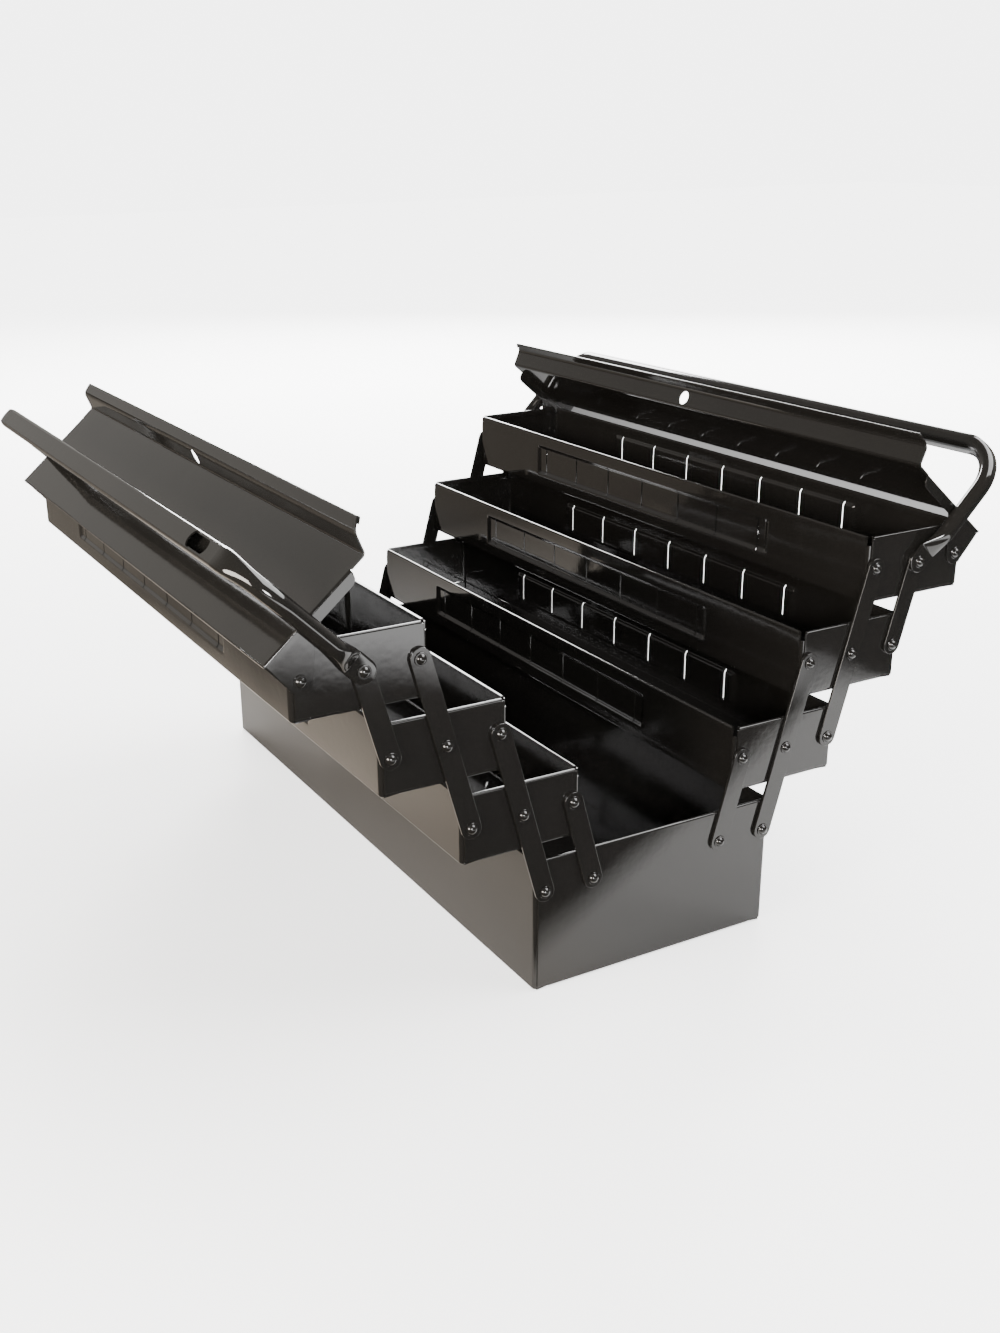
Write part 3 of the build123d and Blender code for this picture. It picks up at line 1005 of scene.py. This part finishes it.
def grown(name, tree, points, values, attributes=None):
    """Runs a tree on loose points and keeps what it makes as plain mesh, faces outwards."""
    mesh = bpy.data.meshes.new(name)
    mesh.from_pydata([(x / 1000, y / 1000, z / 1000) for x, y, z in points], [], [])
    for label, numbers in (attributes or {}).items():
        mesh.attributes.new(label, "FLOAT", "POINT").data.foreach_set("value", numbers)
    obj = bpy.data.objects.new(name, mesh)
    collection.objects.link(obj)
    shape = obj.modifiers.new("shape", "NODES")
    shape.node_group = tree
    for item in tree.interface.items_tree:
        if item.in_out == "INPUT" and item.name in values:
            shape[item.identifier] = values[item.name]
    bake(obj)
    turned_out = bmesh.new()
    turned_out.from_mesh(obj.data)
    bmesh.ops.recalc_face_normals(turned_out, faces=turned_out.faces)
    turned_out.to_mesh(obj.data)
    turned_out.free()
    obj.data.shade_smooth()
    return obj


print("tree helpers ready")

# %% Link tree
def link_tree():
    names = {"Geometry": "Geometry", "Reach": "Float", "Width": "Float", "Thickness": "Float"}
    names |= {"Lean": "Float", "Foot": "Vector", "Face": "Float", "Material": "Material"}
    tree, given, end = tree_with("flat link", names)
    tall = calculate(tree, "ADD", given["Reach"], given["Width"])
    plain = shaped(tree, "CurvePrimitiveQuadrilateral", {"Width": given["Width"], "Height": tall})
    ends = {"Curve": plain, "Count": 10, "Radius": times(tree, given["Width"], 0.4999)}
    rounded = shaped(tree, "FilletCurve", ends, mode="POLY")
    back = shaped(tree, "FillCurve", {"Curve": rounded}, mode="NGONS")
    thick = {"Mesh": back, "Offset Scale": given["Thickness"], "Individual": False}
    bar = add_node(tree, "GeometryNodeJoinGeometry")
    tree.links.new(shaped(tree, "ExtrudeMesh", thick), bar.inputs[0])
    tree.links.new(shaped(tree, "FlipFaces", {"Mesh": back}), bar.inputs[0])
    closed = shaped(tree, "MergeByDistance", {"Geometry": bar.outputs[0], "Distance": same_place})
    quarter = pi / 2
    upright = {"Geometry": closed, "Rotation": (quarter, 0, quarter)}
    upright["Translation"] = vector(tree, given["Face"], 0.0, times(tree, given["Reach"], 0.5))
    standing = shaped(tree, "Transform", upright)
    two = shaped(tree, "MeshLine", {"Count": 2, "Offset": (0, 0, 0)})
    half_turn = rotation(tree, z=times(tree, shaped(tree, "InputIndex", {}), pi))
    pair = shaped(tree, "InstanceOnPoints", {"Points": two, "Instance": standing, "Rotation": half_turn})
    leaning = {"Geometry": pair, "Translation": given["Foot"], "Rotation": rotation(tree, x=given["Lean"])}
    close_tree(tree, shaped(tree, "Transform", leaning), given["Material"], end)
    return tree


flat_link = link_tree()
print(len(flat_link.nodes), "nodes in the link tree")

# %% Links
link_width = 14.0
for side, side_name in sides:
    for link_name in ("base_short_link", "base_long_link", "tray_long_link", "tray_short_link"):
        node = f"{side_name}_{link_name}"
        low, high = box_mm(f"{node}_near")
        run = high.y - low.y - link_width
        rise = high.z - low.z - link_width
        foot_y = low.y + link_width / 2 if side > 0 else high.y - link_width / 2
        sizes = {"Reach": hypot(run, rise), "Width": link_width}
        sizes |= {"Thickness": high.x - low.x, "Face": link_face}
        values = {label: size / 1000 for label, size in sizes.items()}
        values["Lean"] = -side * atan2(run, rise)
        values["Foot"] = (0.0, foot_y / 1000, (low.z + link_width / 2) / 1000)
        values["Material"] = link_black
        shape = grown(f"{node}_bars", flat_link, [(0, 0, 0)], values)
        finish_edges(shape, 0.35, 40, clamp=False)
        dress(shape, f"{node}s", [f"{node}_near", f"{node}_far"], link_black)
        print(node, "reach", round(sizes["Reach"], 2), "faces", len(shape.data.polygons))

# %% [markdown]
# # Rivets
# Every link turns on rivets: a domed head with a thin flange outside, a shank through link and
# plate, and a flat closed head inside the tub. There are forty-four of them and they are the
# small bright points of the picture, so the head is worth a true turned shape. The node tree
# bends a small grid into a lathed rivet, copies it onto points, and then pulls the closed head
# of each copy in by its own grip, since some rivets hold one layer and others two.

# %% Rivet tree
def rivet_tree():
    sizes = ("Head Radius", "Head Rim", "Dome Radius", "Dome Height", "Shank Radius", "Tail Radius")
    names = {"Geometry": "Geometry"} | dict.fromkeys((*sizes, "Tail Height"), "Float")
    names |= {"Segments": "Int", "Material": "Material"}
    tree, given, end = tree_with("domed rivet", names)
    dome_steps, steps = 6, 14

    def work(operation, *values):
        return calculate(tree, operation, *values)

    grid = {"Size X": steps, "Size Y": 1.0, "Vertices X": steps + 1}
    grid["Vertices Y"] = work("ADD", given["Segments"], 1)
    strip = shaped(tree, "MeshGrid", grid)
    place = fed(tree, "ShaderNodeSeparateXYZ", {"Vector": shaped(tree, "InputPosition", {})}).outputs
    step = work("ROUND", work("ADD", place["X"], steps / 2), 0)
    turn = times(tree, work("ADD", place["Y"], 0.5), 2 * pi)
    radius, rise, rim = given["Dome Radius"], given["Dome Height"], given["Head Rim"]
    chord = work("ADD", times(tree, radius, radius), times(tree, rise, rise))
    ball = work("DIVIDE", chord, times(tree, rise, 2.0))
    widest = work("ARCSINE", work("DIVIDE", radius, ball), 0)
    angle = times(tree, widest, work("DIVIDE", step, dome_steps))
    dome_out = times(tree, ball, work("SINE", angle, 0))
    fall = work("SUBTRACT", 1.0, work("COSINE", angle, 0))
    dome_up = work("SUBTRACT", work("ADD", rim, rise), times(tree, ball, fall))
    rim_half = times(tree, rim, 0.5)
    tail_down = times(tree, given["Tail Height"], -1.0)
    outs = [work("SUBTRACT", given["Head Radius"], rim_half)] + 2 * [given["Head Radius"]]
    outs += 2 * [given["Shank Radius"]] + 2 * [given["Tail Radius"]]
    outs += [times(tree, given["Tail Radius"], 0.85), 0.0]
    ups = [rim, rim_half, 0.0, 0.0, 0.0, 0.0, times(tree, tail_down, 0.6), tail_down, tail_down]
    beyond = work("SUBTRACT", step, dome_steps + 1)
    on_dome = work("LESS_THAN", step, dome_steps + 0.5)

    def picked(numbers, on_dome_number):
        """The number of this step: one rule on the dome, a list of numbers beyond it."""
        node = add_node(tree, "GeometryNodeIndexSwitch", data_type="FLOAT")
        while len(node.index_switch_items) < len(numbers):
            node.index_switch_items.new()
        feed(tree, node, {"Index": beyond} | {k + 1: number for k, number in enumerate(numbers)})
        choice = {"Switch": on_dome, "False": node.outputs[0], "True": on_dome_number}
        return shaped(tree, "Switch", choice, input_type="FLOAT")

    def attribute(name):
        return shaped(tree, "InputNamedAttribute", {"Name": name}, data_type="FLOAT")

    out, up = picked(outs, dome_out), picked(ups, dome_up)
    across, aside = (times(tree, out, work(wave, turn, 0)) for wave in ("COSINE", "SINE"))
    at_tail = work("GREATER_THAN", step, dome_steps + 4.5)
    marked = {"Geometry": strip, "Name": "at_tail", "Value": at_tail}
    marked = shaped(tree, "StoreNamedAttribute", marked, domain="POINT")
    lathed = {"Geometry": marked, "Position": vector(tree, across, aside, up)}
    shape = shaped(tree, "SetPosition", lathed)
    closed = shaped(tree, "MergeByDistance", {"Geometry": shape, "Distance": same_place})
    outward = rotation(tree, y=times(tree, attribute("side"), pi / 2))
    copies = {"Points": given["Geometry"], "Instance": closed, "Rotation": outward}
    real = shaped(tree, "RealizeInstances", {"Geometry": shaped(tree, "InstanceOnPoints", copies)})
    inward = times(tree, attribute("side"), attribute("grip"), -1.0, attribute("at_tail"))
    pulled = shaped(tree, "SetPosition", {"Geometry": real, "Offset": vector(tree, inward)})
    close_tree(tree, pulled, given["Material"], end)
    return tree


domed_rivet = rivet_tree()
print(len(domed_rivet.nodes), "nodes in the rivet tree")

# %% Rivet sizes
tail_radius = 3.4
rivet_sizes = {"Head Radius": 4.4, "Head Rim": 0.4, "Dome Radius": 3.4, "Dome Height": 2.4}
rivet_sizes |= {"Shank Radius": 2.0, "Tail Radius": tail_radius, "Tail Height": 1.2}
rivet_values = {label: size / 1000 for label, size in rivet_sizes.items()}
rivet_values |= {"Segments": 28, "Material": rivet_black}
rivet_depth = 22.0
first_rivet, last_rivet = 6.0, 6.5
rivet_pitch = (tray_width - first_rivet - last_rivet) / 2
eye_seat = link_seat + eye_thickness + side_gap
ear_seat = link_face + sheet + side_gap
print("rivets are", round(rivet_pitch, 2), "mm apart")


# %% Rivets
def rivet_up(body, places, z, width, middle):
    """Rivets at both ends of a tub; each place is a Y and the seat of the head there."""
    points, grips, ends = [], [], []
    for y, seat in places:
        on_tab = abs(y - middle) + tail_radius > width / 2 - tab_width
        tail = plate_end - (2 if on_tab else 1) * sheet
        for end in (1, -1):
            points.append((end * seat, y, z))
            grips.append((seat - tail) / 1000)
            ends.append(float(end))
    attributes = {"grip": grips, "side": ends}
    shape = grown(f"{body}_domed_rivets", domed_rivet, points, rivet_values, attributes)
    shape.data.set_sharp_from_angle(angle=radians(40))
    dress(shape, body, [f"{body}_rivets"], rivet_black)
    print(body, len(points), "rivets with", len(shape.data.polygons), "faces")


outer_foot = joint_at["right_open"][0]
feet = (outer_foot - rivet_pitch, outer_foot)
base_seats = [(side * y, link_seat) for side in (1, -1) for y in feet]
rivet_up("base", base_seats, tub_high.z - rivet_depth, tub_high.y - tub_low.y, 0)
for side, tray, body in trays:
    middle, bottom = tray_place(tray)
    seats = [link_seat] * 3 if tray < 3 else [link_seat, eye_seat, ear_seat]
    start = middle - tray_width / 2 + first_rivet
    places = [(side * (start + k * rivet_pitch), seat) for k, seat in enumerate(seats)]
    rivet_up(body, places, bottom + tray_height - rivet_depth, tray_width, side * middle)

# %% [markdown]
# # Camera
# The camera stands where the photograph was taken from: off the near left corner, a little
# above the open lids. Its place came from matching the corners and rivets of the model to the
# picture, so the box shows the same faces at the same slant.

# %% Camera
camera_place = (0.9823, -0.5447, 0.5405)
camera_yaw, camera_pitch, camera_roll = 28.46, 20.87, -0.88
camera_lens = 39.994
camera_shift = (0.0375, 0.0139)


def aimed_camera(place, *degrees):
    """A camera from its place and its yaw, pitch and roll in degrees."""
    data = bpy.data.cameras.new("camera")
    camera = bpy.data.objects.new("camera", data)
    collection.objects.link(camera)
    yaw, pitch, roll = (radians(v) for v in degrees)
    level = cos(pitch)
    forward = Vector((-cos(yaw) * level, sin(yaw) * level, -sin(pitch)))
    right = forward.cross(Vector((0, 0, 1))).normalized()
    up = right.cross(forward)
    turned_right = cos(roll) * right + sin(roll) * up
    turned_up = -sin(roll) * right + cos(roll) * up
    turn = Matrix((turned_right, turned_up, -forward)).transposed()
    camera.matrix_world = Matrix.Translation(Vector(place)) @ turn.to_4x4()
    data.sensor_fit = "AUTO"
    data.sensor_width = 36.0
    data.lens = camera_lens
    data.shift_x, data.shift_y = camera_shift
    data.clip_start, data.clip_end = 0.05, 50.0
    return camera


camera = aimed_camera(camera_place, camera_yaw, camera_pitch, camera_roll)
bpy.context.scene.camera = camera
print("camera at", [round(v, 3) for v in camera.location])

# %% [markdown]
# # Floor and light
# The picture is a studio shot on white. Black enamel shows little of its own colour: what it
# shows is the room. The lower walls are grey and the upper end plates black, and both face the
# camera the same way, so the white table must end soon in front of the box, with a dark room
# behind the camera. The table is therefore a pale floor whose reflected light stops at a soft
# edge, while the camera itself sees it go on. The far side of the room is a lit backdrop, which
# the lids reflect, and a broad panel overhead brightens hems and rivets.

# %% Floor
floor_level = -0.4
floor_reach = 9000
table_front = 0.305
table_left = -0.45
table_right = 0.48
table_back = -0.95
beyond_table = 0.04
apron_light = 5.0
to_camera = (0.879, -0.477, 0.0)
to_apron = (0.79, 0.61, 0.0)


def along(tree, place, direction):
    """Distance of a place along a direction."""
    feeds = {0: place, 1: direction}
    return fed(tree, "ShaderNodeVectorMath", feeds, operation="DOT_PRODUCT").outputs["Value"]


def floor_material():
    """Pale floor with a trace of mottling; round the table it gives little light back. Unseen by the
    camera, it gives back painted warm light on its left and glows as a painted strip of light on its
    right.
    """
    material = bpy.data.materials.new("pale floor")
    material.use_nodes = True
    tree = material.node_tree
    place = add_node(tree, "ShaderNodeTexCoord").outputs["Object"]
    camera_ray = add_node(tree, "ShaderNodeLightPath").outputs["Is Camera Ray"]
    length_way, width_way = along(tree, place, (1, 0, 0)), along(tree, place, (0, 1, 0))
    front = remap(tree, along(tree, place, to_camera), table_front - 0.012, table_front + 0.018, 1.0, 0.0)
    left = remap(tree, width_way, table_left - 0.10, table_left + 0.10, 0.0, 1.0)
    right = remap(tree, width_way, table_right - 0.05, table_right + 0.05, 1.0, 0.0)
    back = remap(tree, length_way, table_back, 0.10, 0.0, 1.0)
    room_floor = remap(tree, length_way, -0.9, -0.4, 3 * beyond_table, beyond_table)
    table = calculate(tree, "MAXIMUM", times(tree, front, left, back, right), room_floor)
    mottle = remap(tree, noise(tree, place, 3.0, 3.0), 0.3, 0.7, 0.9, 0.94)
    # Painted warm light: towards the left the floor gives back warmer light, never to the camera, and the
    # enamel's left walls take a brown sheen from it.
    painted_warm_light = remap(tree, width_way, -0.30, 0.0, 1.0, 0.0)
    shades = {}
    for channel, loss in (("Red", 0.0), ("Green", 0.11), ("Blue", 0.24)):
        cooled = remap(tree, painted_warm_light, 0.0, 1.0, 1.0, 1.0 - loss)
        shown = calculate(tree, "MAXIMUM", times(tree, table, cooled), camera_ray)
        shades[channel] = times(tree, mottle, shown)
    distance = fed(tree, "ShaderNodeVectorMath", {0: place}, operation="LENGTH").outputs["Value"]
    lift = remap(tree, distance, 0.3, 2.2, 1.8, 5.0)
    # Painted light: a strip of floor to the right glows, unseen by the camera, and brightens what the
    # enamel reflects.
    unseen = calculate(tree, "SUBTRACT", 1.0, camera_ray)
    painted_light_strip = remap(tree, along(tree, place, to_apron), 0.70, 0.86, 0.0, apron_light)
    painted_light_strip = times(tree, unseen, right, painted_light_strip)
    paint = {"Roughness": 0.55, "Emission Color": (1, 1, 1, 1)}
    paint["Base Color"] = fed(tree, "ShaderNodeCombineColor", shades).outputs["Color"]
    paint["Specular IOR Level"] = times(tree, camera_ray, 0.2)
    paint["Emission Strength"] = calculate(tree, "ADD", times(tree, camera_ray, lift), painted_light_strip)
    feed(tree, tree.nodes["Principled BSDF"], paint)
    return material


corners = ((-1, -1), (1, -1), (1, 1), (-1, 1))
floor_points = [(x * floor_reach, y * floor_reach, floor_level) for x, y in corners]
floor = make_mesh("floor", floor_points, [(0, 1, 2, 3)])
floor.data.materials.append(floor_material())
print("floor reaches", floor_reach / 1000, "m each way")


# %% Light
room_light = 0.10
backdrop_light = 0.5
warm_white = (1.0, 0.96, 0.90, 1)


def light_panel(name, place, aim, width, height, power, colour=(1, 1, 1)):
    """A soft rectangular light at a place, facing a point; sizes in metres."""
    data = bpy.data.lights.new(f"{name} panel", "AREA")
    data.shape = "RECTANGLE"
    data.size, data.size_y = width, height
    data.energy = power
    data.color = colour
    light = bpy.data.objects.new(f"{name} panel", data)
    light.rotation_euler = (Vector(aim) - Vector(place)).to_track_quat("-Z", "Y").to_euler()
    light.location = place
    collection.objects.link(light)


def studio_world():
    """White to the camera; to everything else a backdrop on the far side of a dark room."""
    world = bpy.data.worlds.new("studio")
    world.use_nodes = True
    tree = world.node_tree
    direction = add_node(tree, "ShaderNodeTexCoord").outputs["Generated"]
    away = tuple(-v for v in to_camera)
    backdrop = remap(tree, along(tree, direction, away), -0.1, 0.6, 0.0, 1.0)
    low = remap(tree, along(tree, direction, (0, 0, 1)), 0.45, 0.85, 1.0, 0.0)
    strength = remap(tree, times(tree, backdrop, low), 0.0, 1.0, room_light, backdrop_light)
    feed(tree, tree.nodes["Background"], {"Color": warm_white, "Strength": strength})
    seen = fed(tree, "ShaderNodeBackground", {"Color": (1, 1, 1, 1), "Strength": 5.0})
    camera_ray = add_node(tree, "ShaderNodeLightPath").outputs["Is Camera Ray"]
    both = {0: camera_ray, 1: tree.nodes["Background"].outputs[0], 2: seen.outputs[0]}
    which = fed(tree, "ShaderNodeMixShader", both)
    feed(tree, tree.nodes["World Output"], {"Surface": which.outputs[0]})
    return world


bpy.context.scene.world = studio_world()
light_panel("overhead", (0.3, 1.15, 1.9), (0, 0, 0.1), 2.4, 1.4, 105)
light_panel("hem", (-2.3, 0.35, 1.75), (0, 0, 0.2), 0.9, 0.5, 60)
light_panel("back", (-2.4, 1.7, 1.3), (0, 0, 0.2), 2.2, 1.3, 150)
light_panel("left", (0.4, -2.2, 0.75), (0, -0.1, 0), 1.6, 0.9, 110, (1.0, 0.93, 0.85))
light_panel("front", (2.0, -0.9, 0.85), (0.2, 0, 0), 0.5, 0.4, 42)
